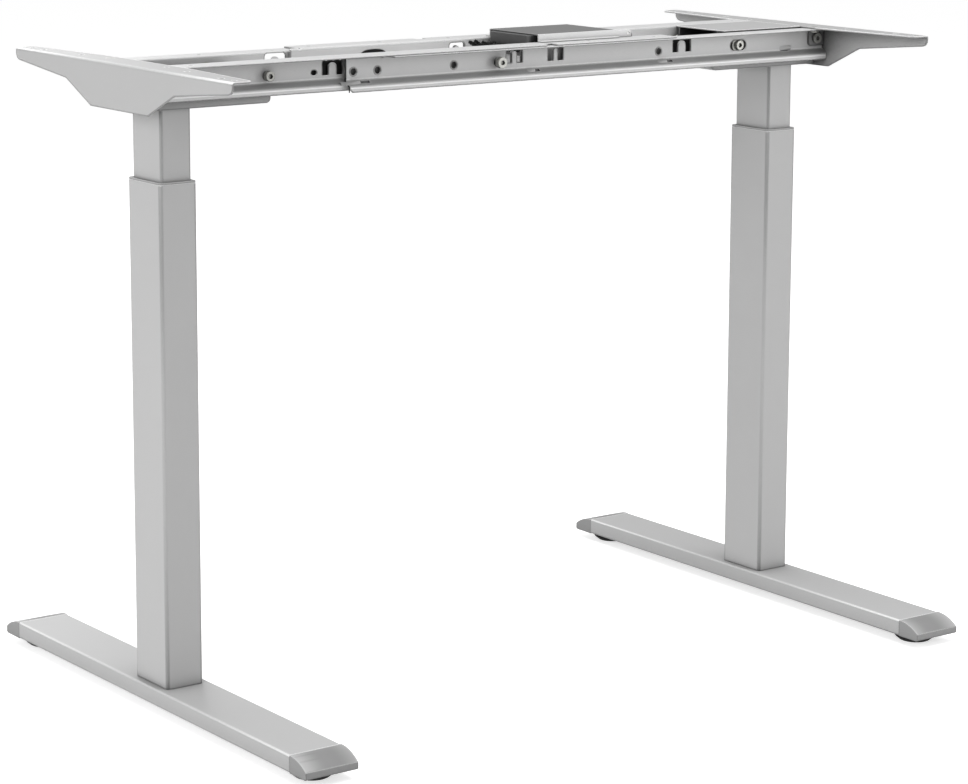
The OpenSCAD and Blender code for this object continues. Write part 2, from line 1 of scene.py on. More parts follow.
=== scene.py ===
# %% [markdown]
# A height adjustable desk frame. The CAD part is loaded as a fixed frame first,
# because every surface made here sits on one of its bodies and moves with it.
# %% Load the frame
import json
import math
import bpy
import numpy as np
from mathutils import Matrix, Vector


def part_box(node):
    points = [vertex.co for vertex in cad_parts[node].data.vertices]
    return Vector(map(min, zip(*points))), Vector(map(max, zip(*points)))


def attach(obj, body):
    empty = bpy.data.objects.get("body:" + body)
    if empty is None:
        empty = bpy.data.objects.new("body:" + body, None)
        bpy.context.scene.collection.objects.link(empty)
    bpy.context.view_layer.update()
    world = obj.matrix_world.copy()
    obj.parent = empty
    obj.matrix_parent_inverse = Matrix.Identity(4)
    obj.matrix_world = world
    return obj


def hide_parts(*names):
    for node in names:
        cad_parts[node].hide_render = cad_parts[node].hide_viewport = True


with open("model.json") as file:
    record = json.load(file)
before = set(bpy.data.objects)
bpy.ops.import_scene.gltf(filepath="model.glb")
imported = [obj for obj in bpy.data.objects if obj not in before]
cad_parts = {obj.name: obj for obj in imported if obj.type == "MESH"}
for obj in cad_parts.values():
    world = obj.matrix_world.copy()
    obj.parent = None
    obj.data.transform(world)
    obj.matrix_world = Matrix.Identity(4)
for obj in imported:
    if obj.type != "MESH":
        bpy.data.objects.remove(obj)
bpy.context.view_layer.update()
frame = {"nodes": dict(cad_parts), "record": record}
nodes = frame["nodes"]

# %% [markdown]
# The camera comes from a fit of the columns', feet's and brackets' corners to
# the photograph. It stands high on the left and looks down about ten degrees
# through a long lens. A shift of 100 pixels keeps the uprights near vertical.
# %% Camera
PHOTO_WIDTH, FOCAL_PIXELS, SHIFT_PIXELS = 968.0, 3004.9, 100.0
SENSOR = 36.0
CAMERA_PLACE = (-2.2218, -3.0531, 1.1189)
YAW, PITCH, ROLL = -36.054, 9.886, 0.201

cam_data = bpy.data.cameras.new("camera")
cam = bpy.data.objects.new("camera", cam_data)
bpy.context.scene.collection.objects.link(cam)
bpy.context.scene.camera = cam
cam_data.sensor_width = SENSOR
cam_data.lens = FOCAL_PIXELS * SENSOR / PHOTO_WIDTH
cam_data.shift_y = -SHIFT_PIXELS / PHOTO_WIDTH
cam_data.clip_start, cam_data.clip_end = 0.1, 60.0


def aim(yaw, pitch, roll):
    """Camera turn from a yaw about +Z, a downward pitch and a roll, in degrees."""
    y, p, r = (math.radians(v) for v in (yaw, pitch, roll))
    turn = Matrix.Rotation(y, 4, "Z") @ Matrix.Rotation(math.pi / 2 - p, 4, "X")
    return turn @ Matrix.Rotation(r, 4, "Z")


cam.matrix_world = Matrix.Translation(CAMERA_PLACE) @ aim(YAW, PITCH, ROLL)
print("camera lens", round(cam_data.lens, 1))

# %% [markdown]
# Every surface and the studio itself are trees of shader nodes. Three small
# helpers make an empty material, add a node and link sockets, so that the cells
# below can say what a tree does and not how it is put together.
# %% Node helpers
def new_material(name):
    """An empty node material and its node tree."""
    m = bpy.data.materials.new(name)
    m.use_nodes = True
    m.node_tree.nodes.clear()
    return m, m.node_tree


def add_node(tree, kind, **settings):
    """A node of a kind, with its properties set by name."""
    n = tree.nodes.new(kind)
    for key, value in settings.items():
        setattr(n, key, value)
    return n


def wire(tree, *pairs):
    """Links in a tree, each pair an output socket and the input socket it feeds."""
    for start, end in pairs:
        tree.links.new(start, end)


print("node helpers ready")

# %% [markdown]
# The floor is pale and adds light of its own, but only for the camera and for
# reflections. The page stays white that way and the frame's shadow stays soft.
# %% Floor
FLOOR_GREY, FLOOR_GLOW, FLOOR_HALF = 0.84, 0.65, 30.0

floor_mat, ft = new_material("studio_floor")
out = add_node(ft, "ShaderNodeOutputMaterial")
diff = add_node(ft, "ShaderNodeBsdfDiffuse")
diff.inputs["Color"].default_value = (FLOOR_GREY, FLOOR_GREY, FLOOR_GREY, 1)
glow = add_node(ft, "ShaderNodeEmission")
glow.inputs["Color"].default_value = (1, 1, 1, 1)
path = add_node(ft, "ShaderNodeLightPath")
seen = add_node(ft, "ShaderNodeMath", operation="MAXIMUM")
amount = add_node(ft, "ShaderNodeMath", operation="MULTIPLY")
amount.inputs[1].default_value = FLOOR_GLOW
both = add_node(ft, "ShaderNodeAddShader")
wire(ft, (path.outputs["Is Camera Ray"], seen.inputs[0]), (path.outputs["Is Glossy Ray"], seen.inputs[1]),
     (seen.outputs[0], amount.inputs[0]), (amount.outputs[0], glow.inputs["Strength"]),
     (diff.outputs[0], both.inputs[0]), (glow.outputs[0], both.inputs[1]),
     (both.outputs[0], out.inputs["Surface"]))

floor_mesh = bpy.data.meshes.new("floor")
floor_corners = [(x * FLOOR_HALF, y * FLOOR_HALF, 0) for x, y in ((-1, -1), (1, -1), (1, 1), (-1, 1))]
floor_mesh.from_pydata(floor_corners, [], [(0, 1, 2, 3)])
floor = bpy.data.objects.new("floor", floor_mesh)
bpy.context.scene.collection.objects.link(floor)
floor_mesh.materials.append(floor_mat)
print("floor half width", FLOOR_HALF)

# %% [markdown]
# The room round the frame is a mid grey that lights it softly from all sides.
# The camera itself sees plain white there, as on the photograph's page.
# %% World
ROOM_GREY = 0.40

world = bpy.data.worlds.new("studio")
bpy.context.scene.world = world
world.use_nodes = True
wt = world.node_tree
wt.nodes.clear()
w_out = add_node(wt, "ShaderNodeOutputWorld")
w_path = add_node(wt, "ShaderNodeLightPath")
w_seen = add_node(wt, "ShaderNodeMath", operation="MAXIMUM")
w_room = add_node(wt, "ShaderNodeBackground")
w_room.inputs["Color"].default_value = (ROOM_GREY, ROOM_GREY, ROOM_GREY, 1)
w_white = add_node(wt, "ShaderNodeBackground")
w_white.inputs["Color"].default_value = (1, 1, 1, 1)
w_mix = add_node(wt, "ShaderNodeMixShader")
wire(wt, (w_path.outputs["Is Camera Ray"], w_seen.inputs[0]),
     (w_path.outputs["Is Transmission Ray"], w_seen.inputs[1]), (w_seen.outputs[0], w_mix.inputs[0]),
     (w_room.outputs[0], w_mix.inputs[1]), (w_white.outputs[0], w_mix.inputs[2]),
     (w_mix.outputs[0], w_out.inputs["Surface"]))
bpy.context.scene.view_settings.view_transform = "Standard"
print("room grey", ROOM_GREY)

# %% [markdown]
# Four soft lamps light the frame: a wide key from the left, which makes the
# columns' outer sides the brighter ones, a top lamp for the rails' flanges, one
# behind for their edges and a weak one close to the right column.
# %% Lamps
def soft_lamp(name, place, look_at, size, watts):
    """A square area lamp at a place, turned towards a point."""
    data = bpy.data.lights.new(name, "AREA")
    data.shape = "SQUARE"
    data.size = size
    data.energy = watts
    lamp = bpy.data.objects.new(name, data)
    bpy.context.scene.collection.objects.link(lamp)
    lamp.location = place
    lamp.visible_camera = False
    lamp.rotation_euler = (Vector(look_at) - Vector(place)).to_track_quat("-Z", "Y").to_euler()


# Each lamp's place, the point it looks at, its side in metres and its watts.
LAMPS = {
    "left": ((-4.2, -0.6, 1.8), (0, 0, 0.5), 2.6, 72),
    "top": ((0.2, -0.2, 4.2), (0, 0, 0.4), 3.0, 80),
    "near_right": ((1.6, -1.7, 0.9), (0.45, 0, 0.6), 0.9, 11),
    "back": ((0.6, 4.4, 2.2), (0, 0, 0.5), 2.6, 48),
}
for name, (place, look_at, size, watts) in LAMPS.items():
    soft_lamp(name, place, look_at, size, watts)
print("lamps", len(LAMPS))

# %% [markdown]
# Four effects are shared by the finishes, and each is a node group that takes
# plain values. Most of them fade between two limits, so one helper makes a
# smooth step and another the group with its named sockets.
# %% Group helpers
COLOUR, FLOAT, VECTOR = "NodeSocketColor", "NodeSocketFloat", "NodeSocketVector"
MID_GREY = (0.5, 0.5, 0.5, 1)


def new_group(name, values, outputs):
    """A node group whose inputs are named values, a tuple being a colour."""
    g = bpy.data.node_groups.new(name, "ShaderNodeTree")
    for label, value in values.items():
        kind = COLOUR if isinstance(value, tuple) else FLOAT
        g.interface.new_socket(label, in_out="INPUT", socket_type=kind).default_value = value
    for label, kind in outputs.items():
        g.interface.new_socket(label, in_out="OUTPUT", socket_type=kind)
    return g, g.nodes.new("NodeGroupInput"), g.nodes.new("NodeGroupOutput")


def smooth_step(tree, start, end, low=0.0, high=1.0):
    """A value that is low below start, high above end and climbs softly between."""
    n = add_node(tree, "ShaderNodeMapRange", interpolation_type="SMOOTHSTEP")
    for label, value in (("From Min", start), ("From Max", end), ("To Min", low), ("To Max", high)):
        n.inputs[label].default_value = value
    return n


print("group helpers ready")

# %% [markdown]
# Powder coat is not flat: a very fine orange peel bends the highlight, and the
# grey drifts a little over a long surface. One group makes both and every
# painted material takes it with its own values.
# %% Peel and drift
PEEL_HEIGHT, PEEL_ROUGH = 0.0002, 0.08
DRIFT_PER_METRE = 3.0

peel, p_in, p_out = new_group(
    "peel_and_drift", {"Color": MID_GREY, "Grain per metre": 900.0, "Depth": 0.05, "Drift": 0.04},
    {"Color": COLOUR, "Normal": VECTOR, "Rough add": FLOAT})
p_place = add_node(peel, "ShaderNodeTexCoord")
grain = add_node(peel, "ShaderNodeTexNoise")
grain.inputs["Detail"].default_value = 2.0
slow = add_node(peel, "ShaderNodeTexNoise")
slow.inputs["Scale"].default_value = DRIFT_PER_METRE
slow.inputs["Detail"].default_value = 3.0
bump = add_node(peel, "ShaderNodeBump")
bump.inputs["Distance"].default_value = PEEL_HEIGHT
swing = add_node(peel, "ShaderNodeMapRange")
swing.inputs["To Min"].default_value = -1.0
p_share = add_node(peel, "ShaderNodeMath", operation="MULTIPLY")
p_gain = add_node(peel, "ShaderNodeMath", operation="ADD")
p_gain.inputs[1].default_value = 1.0
p_tint = add_node(peel, "ShaderNodeVectorMath", operation="SCALE")
rough_add = add_node(peel, "ShaderNodeMath", operation="MULTIPLY")
rough_add.inputs[1].default_value = PEEL_ROUGH
wire(peel, (p_place.outputs["Object"], grain.inputs["Vector"]),
     (p_place.outputs["Object"], slow.inputs["Vector"]),
     (p_in.outputs["Grain per metre"], grain.inputs["Scale"]),
     (grain.outputs["Fac"], bump.inputs["Height"]), (p_in.outputs["Depth"], bump.inputs["Strength"]),
     (slow.outputs["Fac"], swing.inputs["Value"]), (swing.outputs[0], p_share.inputs[0]),
     (p_in.outputs["Drift"], p_share.inputs[1]), (p_share.outputs[0], p_gain.inputs[0]),
     (p_in.outputs["Color"], p_tint.inputs[0]), (p_gain.outputs[0], p_tint.inputs["Scale"]),
     (grain.outputs["Fac"], rough_add.inputs[0]), (p_tint.outputs[0], p_out.inputs["Color"]),
     (bump.outputs["Normal"], p_out.inputs["Normal"]), (rough_add.outputs[0], p_out.inputs["Rough add"]))
print("group", peel.name)

# %% [markdown]
# Edges that turn up get a painted highlight, and upright edges a painted shade
# line. An edge is found where the softened normal leaves the face's own, and its
# turn upwards picks which of the two it gets.
# %% Painted edge highlights and shade lines
lines, l_in, l_out = new_group(
    "painted_edge_light_and_shade", {"Color": MID_GREY, "Radius": 0.0015, "Light": 0.6, "Dark": 0.4}, {"Color": COLOUR})
l_bevel = add_node(lines, "ShaderNodeBevel", samples=6)
l_geo = add_node(lines, "ShaderNodeNewGeometry")
l_diff = add_node(lines, "ShaderNodeVectorMath", operation="DISTANCE")
l_edge = smooth_step(lines, 0.06, 0.35)
l_split = add_node(lines, "ShaderNodeSeparateXYZ")
l_up = smooth_step(lines, 0.15, 0.5)
l_dark = add_node(lines, "ShaderNodeMath", operation="MULTIPLY")
l_dark.inputs[1].default_value = -1.0
# Upward edges take the painted highlight, upright edges the painted shade line.
l_pick = add_node(lines, "ShaderNodeMix", data_type="FLOAT")
l_gain = add_node(lines, "ShaderNodeMath", operation="MULTIPLY_ADD")
l_gain.inputs[2].default_value = 1.0
l_tint = add_node(lines, "ShaderNodeVectorMath", operation="SCALE")
wire(lines, (l_in.outputs["Radius"], l_bevel.inputs["Radius"]), (l_bevel.outputs[0], l_diff.inputs[0]),
     (l_geo.outputs["True Normal"], l_diff.inputs[1]), (l_diff.outputs["Value"], l_edge.inputs["Value"]),
     (l_bevel.outputs[0], l_split.inputs[0]), (l_split.outputs["Z"], l_up.inputs["Value"]),
     (l_in.outputs["Dark"], l_dark.inputs[0]), (l_up.outputs[0], l_pick.inputs["Factor"]),
     (l_dark.outputs[0], l_pick.inputs["A"]), (l_in.outputs["Light"], l_pick.inputs["B"]),
     (l_pick.outputs["Result"], l_gain.inputs[0]), (l_edge.outputs[0], l_gain.inputs[1]),
     (l_in.outputs["Color"], l_tint.inputs[0]), (l_gain.outputs[0], l_tint.inputs["Scale"]),
     (l_tint.outputs[0], l_out.inputs["Color"]))
print("group", lines.name)

# %% [markdown]
# Corners and narrow gaps get painted shade: the colour falls there. The share of
# open space within reach of a point says how far it falls.
# %% Painted shade in cavities
hollow, h_in, h_out = new_group(
    "painted_cavity_shade", {"Color": MID_GREY, "Reach": 0.03, "Amount": 0.8}, {"Color": COLOUR})
h_open = add_node(hollow, "ShaderNodeAmbientOcclusion", samples=6)
h_curve = smooth_step(hollow, 0.15, 0.95)
h_closed = add_node(hollow, "ShaderNodeMath", operation="SUBTRACT")
h_closed.inputs[0].default_value = 1.0
h_amount = add_node(hollow, "ShaderNodeMath", operation="MULTIPLY")
h_keep = add_node(hollow, "ShaderNodeMath", operation="SUBTRACT")
h_keep.inputs[0].default_value = 1.0
h_tint = add_node(hollow, "ShaderNodeVectorMath", operation="SCALE")
wire(hollow, (h_in.outputs["Reach"], h_open.inputs["Distance"]),
     (h_open.outputs["AO"], h_curve.inputs["Value"]), (h_curve.outputs[0], h_closed.inputs[1]),
     (h_closed.outputs[0], h_amount.inputs[0]), (h_in.outputs["Amount"], h_amount.inputs[1]),
     (h_amount.outputs[0], h_keep.inputs[1]), (h_in.outputs["Color"], h_tint.inputs[0]),
     (h_keep.outputs[0], h_tint.inputs["Scale"]), (h_tint.outputs[0], h_out.inputs["Color"]))
print("group", hollow.name)

# %% [markdown]
# A rail's sheet is bent twice between its web and its lip. Both bends run along
# the whole rail and get painted highlights as bright lines, and the sloping ledge
# between them gets painted shade. The bends are level, so the height of a point is
# enough to find them, and each rail gives the heights of its own two bends.
# %% Painted bend highlights and ledge shade
# Half width of each painted highlight band, the painted shade on the ledge, and where that shade is full and
# where it is gone.
BAND_HALF, LEDGE_SHADE = 0.0014, 0.66
LEDGE_SHADE_FULL_TO, LEDGE_SHADE_GONE_AT = 0.0022, 0.0036

shine, s_in, s_out = new_group(
    "painted_bend_highlight", {"Color": MID_GREY, "Upper": 0.75, "Lower": 0.74, "Amount": 0.5}, {"Color": COLOUR})
s_place = add_node(shine, "ShaderNodeTexCoord")
s_split = add_node(shine, "ShaderNodeSeparateXYZ")
s_sum = add_node(shine, "ShaderNodeMath", operation="ADD")
for slot_no, socket in enumerate(("Upper", "Lower")):
    s_off = add_node(shine, "ShaderNodeMath", operation="SUBTRACT")
    s_abs = add_node(shine, "ShaderNodeMath", operation="ABSOLUTE")
    s_band = smooth_step(shine, 0.0, BAND_HALF, 1.0, 0.0)
    wire(shine, (s_split.outputs["Z"], s_off.inputs[0]), (s_in.outputs[socket], s_off.inputs[1]),
         (s_off.outputs[0], s_abs.inputs[0]), (s_abs.outputs[0], s_band.inputs["Value"]),
         (s_band.outputs[0], s_sum.inputs[slot_no]))
s_middle = add_node(shine, "ShaderNodeMix", data_type="FLOAT")
s_middle.inputs["Factor"].default_value = 0.5
s_away = add_node(shine, "ShaderNodeMath", operation="SUBTRACT")
s_size = add_node(shine, "ShaderNodeMath", operation="ABSOLUTE")
s_ledge_shade = smooth_step(shine, LEDGE_SHADE_FULL_TO, LEDGE_SHADE_GONE_AT, LEDGE_SHADE, 1.0)
s_gain = add_node(shine, "ShaderNodeMath", operation="MULTIPLY_ADD")
s_tint = add_node(shine, "ShaderNodeVectorMath", operation="SCALE")
wire(shine, (s_place.outputs["Object"], s_split.inputs[0]), (s_in.outputs["Upper"], s_middle.inputs["A"]),
     (s_in.outputs["Lower"], s_middle.inputs["B"]), (s_split.outputs["Z"], s_away.inputs[0]),
     (s_middle.outputs["Result"], s_away.inputs[1]), (s_away.outputs[0], s_size.inputs[0]),
     (s_size.outputs[0], s_ledge_shade.inputs["Value"]), (s_sum.outputs[0], s_gain.inputs[0]),
     (s_in.outputs["Amount"], s_gain.inputs[1]), (s_ledge_shade.outputs[0], s_gain.inputs[2]),
     (s_in.outputs["Color"], s_tint.inputs[0]), (s_gain.outputs[0], s_tint.inputs["Scale"]),
     (s_tint.outputs[0], s_out.inputs["Color"]))
print("group", shine.name)

# %% [markdown]
# Each finish is one Principled shader fed by the shared groups in a row. Values
# that don't change over a surface stay on the shader's own sockets.
# %% Coats
def coated(name, grey, rough, grain_per_m=900.0, depth=0.05, drift=0.03, metallic=0.0, specular=0.5,
           light=0.5, dark=0.35, radius=0.0015, reach=0.03, amount=0.7, bends=None):
    """A coated or moulded finish. Its colour is the grey times the drift, times the
    painted edge highlights and shade lines, times the painted shade in cavities and,
    on a rail, times the painted highlights on the bends and painted shade on the ledge.
    Its roughness is the given one plus a share of the grain."""
    m, t = new_material(name)
    rgb = grey if isinstance(grey, tuple) else (grey, grey, grey)
    end = add_node(t, "ShaderNodeOutputMaterial")
    shader = add_node(t, "ShaderNodeBsdfPrincipled")
    shader.inputs["Metallic"].default_value = metallic
    shader.inputs["Specular IOR Level"].default_value = specular
    layers = [(peel, {"Color": (*rgb, 1), "Grain per metre": grain_per_m, "Depth": depth, "Drift": drift}),
              (lines, {"Light": light, "Dark": dark, "Radius": radius}),
              (hollow, {"Reach": reach, "Amount": amount})]
    if bends is not None:
        layers.append((shine, {"Upper": bends[0], "Lower": bends[1]}))
    row = []
    for group, values in layers:
        layer = add_node(t, "ShaderNodeGroup", node_tree=group)
        for label, value in values.items():
            layer.inputs[label].default_value = value
        if row:
            wire(t, (row[-1].outputs["Color"], layer.inputs["Color"]))
        row.append(layer)
    total = add_node(t, "ShaderNodeMath", operation="ADD")
    total.inputs[1].default_value = rough
    wire(t, (row[0].outputs["Rough add"], total.inputs[0]), (total.outputs[0], shader.inputs["Roughness"]),
         (row[0].outputs["Normal"], shader.inputs["Normal"]),
         (row[-1].outputs["Color"], shader.inputs["Base Color"]), (shader.outputs[0], end.inputs["Surface"]))
    return m


print("coats ready")

# %% [markdown]
# One finish for each material slot of the part, each with painted edge highlights,
# shade lines and cavity shade. The mouldings have a finer grain than the paint, and
# zinc plate is a dull metal with deep painted shade in its recesses.
# %% Finishes
finish = {
    "grey_paint": coated("grey_powder_coat", 0.52, 0.42, specular=0.4, light=0.6, dark=0.55, radius=0.003,
                         reach=0.02, amount=0.6),
    "white_paint": coated("white_powder_coat", 0.86, 0.40, light=0.2, reach=0.01),
    "steel": coated("plain_steel", 0.30, 0.35, metallic=0.8, drift=0.08),
    "zinc": coated("zinc_plate", (0.34, 0.34, 0.32), 0.32, metallic=0.7, drift=0.1, light=1.2, dark=0.7,
                   radius=0.0012, reach=0.008, amount=0.97),
    "cap_plastic": coated("cap_plastic", 0.30, 0.5, grain_per_m=1500.0, depth=0.08, light=1.0,
                          dark=0.3, radius=0.0025),
    "light_plastic": coated("guide_plastic", 0.42, 0.45, grain_per_m=1500.0),
    "dark_plastic": coated("box_plastic", 0.085, 0.5, grain_per_m=1500.0, depth=0.08, reach=0.015),
    "black_plastic": coated("black_plastic", 0.008, 0.6, grain_per_m=1500.0, depth=0.08, specular=0.15),
}
print("finishes", len(finish))

# %% [markdown]
# The grey coat isn't the same everywhere on the photograph. The rails are the
# lightest and get painted highlights on their bends, the feet are a little lighter
# than the columns, the brackets, trays and cover have stronger painted edge
# highlights and deeper painted shade in their corners, and the control box's lid is
# much darker. These pieces therefore get coats of their own.
# %% Coats of rails, plates, feet and lid
OUTER_BENDS, INNER_BENDS = (0.7512, 0.7410), (0.7535, 0.7433)
RAILS = ("front_rail_inner", "front_rail_outer", "rear_rail_inner", "rear_rail_outer")
PLATES = ("left_end_bracket", "right_end_bracket", "left_head_tray", "right_head_tray", "right_motor_cover")


def rail_coat(name, bends):
    """Rails' coat: painted shade lines on edges and under the flange, painted highlights on the two bends."""
    return coated(name, 0.70, 0.38, specular=0.4, light=0.4, dark=0.85, radius=0.003, reach=0.04,
                  amount=0.6, bends=bends)


outer_coat = rail_coat("outer_rail_coat", OUTER_BENDS)
inner_coat = rail_coat("inner_rail_coat", INNER_BENDS)
lid_coat = coated("lid_powder_coat", 0.18, 0.45, specular=0.4, light=0.8)
# Feet and plates reach far with their painted cavity shade, which darkens the brackets' inner faces near the
# rails; the plates also get strong painted edge highlights.
foot_coat = coated("foot_powder_coat", 0.56, 0.40, specular=0.4, light=0.8, dark=0.4, radius=0.003,
                   reach=0.09, amount=0.5)
plate_coat = coated("plate_powder_coat", 0.50, 0.42, specular=0.4, light=1.4, dark=0.6, radius=0.0030,
                    reach=0.13, amount=0.9)


def coat_of(row):
    """The coat of a node: rails, plates, lid and feet have their own, the rest follow their slot."""
    if row["node"] in RAILS:
        return outer_coat if row["node"].endswith("outer") else inner_coat
    if row["node"] in PLATES:
        return plate_coat
    if row["node"] == "control_box_lid":
        return lid_coat
    if row["node"].endswith("foot_tube"):
        return foot_coat
    return finish[row["material_slot"]]


for row in frame["record"]["subparts"]:
    o = nodes[row["node"]]
    o.data.materials.clear()
    o.data.materials.append(coat_of(row))

# %% [markdown]
# Real sheet metal and tube has no knife edges. Each CAD node keeps its mesh, and
# modifiers weld its loose triangles, merge the flat ones and round the edges. The
# bent edges of the sheet then catch the light as thin bright lines.
# %% Rounded edges on the CAD nodes
MM = 0.001
WELD_GAP, FLAT_DEGREES, SHARP_DEGREES = 0.00001, 0.5, 30
EDGE = {"grey_paint": 0.7 * MM, "white_paint": 0.5 * MM, "zinc": 0.5 * MM, "steel": 0.5 * MM,
        "cap_plastic": 1.2 * MM, "light_plastic": 0.5 * MM, "dark_plastic": 0.8 * MM,
        "black_plastic": 0.5 * MM}


def round_edges(o, width):
    """Weld, merge flat faces, then bevel in two steps every edge above the sharp angle."""
    w = o.modifiers.new("weld", "WELD")
    w.merge_threshold = WELD_GAP
    d = o.modifiers.new("flat", "DECIMATE")
    d.decimate_type = "DISSOLVE"
    d.angle_limit = math.radians(FLAT_DEGREES)
    b = o.modifiers.new("round", "BEVEL")
    b.width = width
    b.segments = 2
    b.limit_method = "ANGLE"
    b.angle_limit = math.radians(SHARP_DEGREES)
    b.harden_normals = True
    b.use_clamp_overlap = True


for row in frame["record"]["subparts"]:
    round_edges(nodes[row["node"]], EDGE[row["material_slot"]])
print("edge widths", len(EDGE))

# %% [markdown]
# New pieces are grids of points from a formula, closed round one or both ways.
# One helper turns any such grid into a mesh, so no loop touches single vertices,
# and another gives it a body, a slot and a finish.
# %% Grids into pieces
SIDES = (("left", False), ("right", True))
HALVES = (("front", "right_top", False), ("rear", "left_top", True))


def grid_mesh(name, grids, wrap_u=False, wrap_v=False, smooth=True):
    """A mesh from one or more arrays of points (rows u, columns v, 3), in metres."""
    if isinstance(grids, np.ndarray):
        grids = [grids]
    all_points, all_faces, start = [], [], 0
    for points in grids:
        nu, nv = points.shape[:2]
        index = start + np.arange(nu * nv).reshape(nu, nv)
        start += nu * nv
        if wrap_u:
            index = np.vstack([index, index[:1]])
        if wrap_v:
            index = np.hstack([index, index[:, :1]])
        corners = [index[:-1, :-1], index[1:, :-1], index[1:, 1:], index[:-1, 1:]]
        all_faces.append(np.stack(corners, -1).reshape(-1, 4))
        all_points.append(points.reshape(-1, 3))
    faces = np.concatenate(all_faces)
    mesh = bpy.data.meshes.new(name)
    mesh.from_pydata(np.concatenate(all_points).tolist(), [], faces.tolist())
    mesh.polygons.foreach_set("use_smooth", np.full(len(faces), smooth))
    mesh.update()
    return mesh


def piece(name, mesh, body, slot_name, mirror_half=False):
    """An object from a mesh, riding on a body, with a slot's finish. The rear half
    is the front one turned half round, so its points change sign in x and y."""
    if mirror_half:
        co = np.empty(len(mesh.vertices) * 3)
        mesh.vertices.foreach_get("co", co)
        co = co.reshape(-1, 3) * np.array([-1.0, -1.0, 1.0])
        mesh.vertices.foreach_set("co", co.ravel())
        mesh.update()
    o = bpy.data.objects.new(name, mesh)
    bpy.context.scene.collection.objects.link(o)
    mesh.materials.append(finish[slot_name])
    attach(o, body)
    return o


print("sides", len(SIDES), "halves", len(HALVES))

# %% [markdown]
# Most small pieces are turned or have a rounded box as their section. Both come
# from the same run of angles round a circle.
# %% Turned forms and rounded boxes
def angles(steps):
    """Angles of a full circle in even steps, without the last one that equals the first."""
    return np.linspace(0.0, 2.0 * np.pi, steps, endpoint=False)


def turned(profile, steps):
    """Points of a profile (radius, height) turned about Z."""
    t = angles(steps)
    r, z = np.array(profile, float).T
    x = r[:, None] * np.cos(t)
    y = r[:, None] * np.sin(t)
    return np.stack([x, y, np.broadcast_to(z[:, None], x.shape)], -1)


def box_ring(steps, power):
    """A superellipse of half width 1: cosine and sine, each raised to a power that
    keeps its sign. Power 1 is a circle and a smaller one nears a box."""
    t = angles(steps)
    return (np.sign(np.cos(t)) * np.abs(np.cos(t)) ** power,
            np.sign(np.sin(t)) * np.abs(np.sin(t)) ** power)


def middle(lo, hi):
    """Middle of a box, in metres."""
    return (np.array(lo) + np.array(hi)) / 2.0


print("forms ready")

# %% [markdown]
# A levelling glide is a moulded cup that a hand turns, so its rim has shallow
# grips all round. The radius is a circle times a small rectified wave, on the
# rows of the wall between the cup's sole and its shoulder.
# %% Glides
CUP_STEPS, GRIPS, GRIP_DEPTH = 144, 24.0, 0.022
GRIP_ROWS = slice(4, 8)


def glide_grid(mid, radius):
    """Cup: sole, flared wall with grips, shoulder, threaded stem up to the foot."""
    sole, wall, stem = radius * 0.78, radius, 5.0 * MM
    collar = stem * 1.7
    profile = [(0.0, 0.0), (sole * 0.6, 0.0), (sole - 1.2 * MM, 0.0), (sole, 0.6 * MM),
               (wall * 0.97, 4.6 * MM), (wall, 5.6 * MM), (wall, 7.2 * MM), (wall - 0.8 * MM, 8.0 * MM),
               (wall * 0.55, 8.0 * MM), (collar, 8.6 * MM), (collar, 10.4 * MM), (stem, 10.6 * MM),
               (stem, 25.0 * MM), (0.0, 25.0 * MM)]
    pts = turned(profile, CUP_STEPS)
    grip = 1.0 - GRIP_DEPTH * np.clip(np.cos(GRIPS * angles(CUP_STEPS)), 0.0, 1.0)
    pts[GRIP_ROWS, :, :2] *= grip[None, :, None]
    return pts + np.array([mid[0], mid[1], 0.0])


for side, _ in SIDES:
    for end in ("front", "rear"):
        node = f"{side}_glide_{end}"
        lo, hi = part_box(node)
        cup = glide_grid(middle(lo, hi), (hi[0] - lo[0]) / 2.0)
        mesh = grid_mesh(f"{node}_cup", cup, wrap_v=True)
        o = piece(f"{node}_cup", mesh, f"{side}_{end}_glide", "black_plastic")
        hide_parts(node)
print("glides made, points each", cup.shape[0] * cup.shape[1])

# %% [markdown]
# The lifting spindles carry a trapezoidal thread with 10 mm of rise for a turn,
# which is what couples their turning to the lift. The thread is a radius that
# depends on height minus angle, on a grid fine enough for its flanks.
# %% Spindles
LEAD, PLAIN_DEPTH, PLAIN_END = 10.0 * MM, 0.6 * MM, 40.0 * MM
THREAD_DEPTH = 1.6
ROD_STEPS, ROWS_PER_TURN = 24, 10


def spindle_grid(lo, hi):
    """Threaded rod between two heights, plain over its last stretch. The share of a
    turn goes up and down again, and cut off flat at both ends it is the thread."""
    rows = int((hi[2] - lo[2]) / LEAD * ROWS_PER_TURN)
    z = np.linspace(lo[2], hi[2], rows)[:, None]
    t = angles(ROD_STEPS)[None, :]
    turn = (z / LEAD - t / (2.0 * np.pi)) % 1.0
    crest = np.clip((0.5 - np.abs(turn - 0.5)) * 5.0 - 0.5, 0.0, 1.0)
    depth = np.where(z > hi[2] - PLAIN_END, PLAIN_DEPTH, (1.0 - crest) * THREAD_DEPTH * MM)
    r = (hi[0] - lo[0]) / 2.0 - depth
    mid = middle(lo, hi)
    pts = np.stack([mid[0] + r * np.cos(t), mid[1] + r * np.sin(t), z + 0.0 * t], -1)
    cap = pts[[0, -1]].copy()
    cap[:, :, :2] = mid[:2]
    return np.concatenate([cap[:1], pts, cap[1:]])


for side, _ in SIDES:
    node = f"{side}_spindle"
    lo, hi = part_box(node)
    rod = spindle_grid(lo, hi)
    o = piece(f"{node}_thread", grid_mesh(f"{node}_thread", rod, wrap_v=True), f"{side}_screw", "steel")
    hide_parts(node)
print("spindles made, rows each", len(rod))

# %% [markdown]
# Each motor is a deep drawn can with a rolled groove near both ends, a flange
# at the gearbox and a pressed end cover. One turned profile lies along X.
# %% Motors
GROOVE, DRAWN = 1.1 * MM, 0.3 * MM


